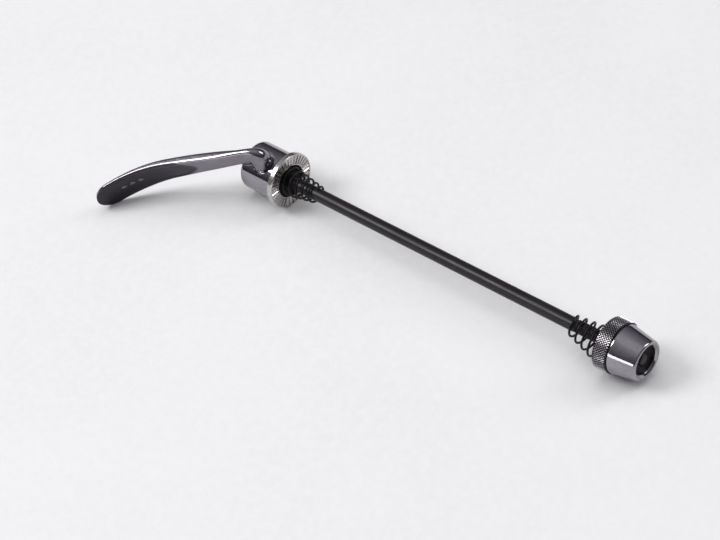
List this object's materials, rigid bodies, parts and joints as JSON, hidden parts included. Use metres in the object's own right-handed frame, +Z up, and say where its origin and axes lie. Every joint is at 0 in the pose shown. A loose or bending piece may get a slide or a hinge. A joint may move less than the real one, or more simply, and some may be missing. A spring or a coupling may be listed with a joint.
{
  "type": "bicycle wheel quick-release skewer",
  "caption": "Slim threaded rod with an enclosed cam and a curled lever at one end, a conical adjusting nut at the other, and a conical spring beside each.",
  "frame": {"origin": "on the rod's axis, in the plane of the cam-side clamping face", "axes": "+Y along the rod from the nut towards the cam and lever; +Z up, with the skewer lying on its flange rim and lever tip"},
  "size_m": [0.0557, 0.2252, 0.0286],
  "materials": {
    "polished_chrome": "polished, mirror-like",
    "dark_chrome": "polished over forged steel, dark",
    "serrated_steel": "bright zinc plate, cut teeth",
    "knurled_steel": "diamond knurl, bright zinc plate",
    "hardened_steel": "ground",
    "black_oxide_steel": "black oxide, satin",
    "spring_wire": "black, semi-gloss",
    "black_nylon": "moulded, matte",
    "bearing_brass": "turned",
    "nitrile_rubber": "matte"
  },
  "bodies": {
    "housing": {"cam_housing": "polished_chrome", "clamp_ring": "serrated_steel", "rod_guide": "black_nylon", "lever_bush": "black_nylon", "end_bush": "bearing_brass", "thrust_washer": "hardened_steel", "end_cap": "black_nylon", "shaft_seal": "nitrile_rubber", "seal_collar": "hardened_steel"},
    "lever": {"lever_arm": "dark_chrome", "cam_shaft": "hardened_steel", "cam_sleeve": "bearing_brass", "retaining_ring": "hardened_steel"},
    "rod": {"skewer_rod": "black_oxide_steel", "rod_eye": "black_oxide_steel"},
    "cam_spring": {"cam_side_spring": "spring_wire"},
    "nut_spring": {"nut_side_spring": "spring_wire"},
    "nut": {"adjusting_nut": "polished_chrome", "nut_grip_ring": "knurled_steel", "nut_face_ring": "serrated_steel", "nut_thread_core": "hardened_steel", "nut_lock_insert": "black_nylon"}
  },
  "joints": [
    {"name": "lever_swing", "type": "hinge", "parent": "housing", "child": "lever", "pos_m": [0, 0.0087, 0], "axis": [-0.4067, 0, 0.9135], "range_deg": [-129, 51]},
    {"name": "rod_draw", "type": "slide", "parent": "housing", "child": "rod", "axis": [0, 1, 0], "range_m": [-0.00173, 0.00069]},
    {"name": "cam_spring_slide", "type": "slide", "parent": "housing", "child": "cam_spring", "axis": [0, -1, 0], "range_m": [0, 0.05]},
    {"name": "nut_travel", "type": "slide", "parent": "rod", "child": "nut_spring", "axis": [0, 1, 0], "range_m": [-0.00401, 0.00801]},
    {"name": "nut_turn", "type": "hinge", "parent": "nut_spring", "child": "nut", "pos_m": [0, -0.1473, 0], "axis": [0, 1, 0], "range_deg": [-1800, 3600]}
  ],
  "couplings": [
    {"joint": "rod_draw", "follows": "lever_swing", "m_per_rad": 0.00076394},
    {"joint": "nut_travel", "follows": "nut_turn", "m_per_rad": 0.00012732}
  ]
}
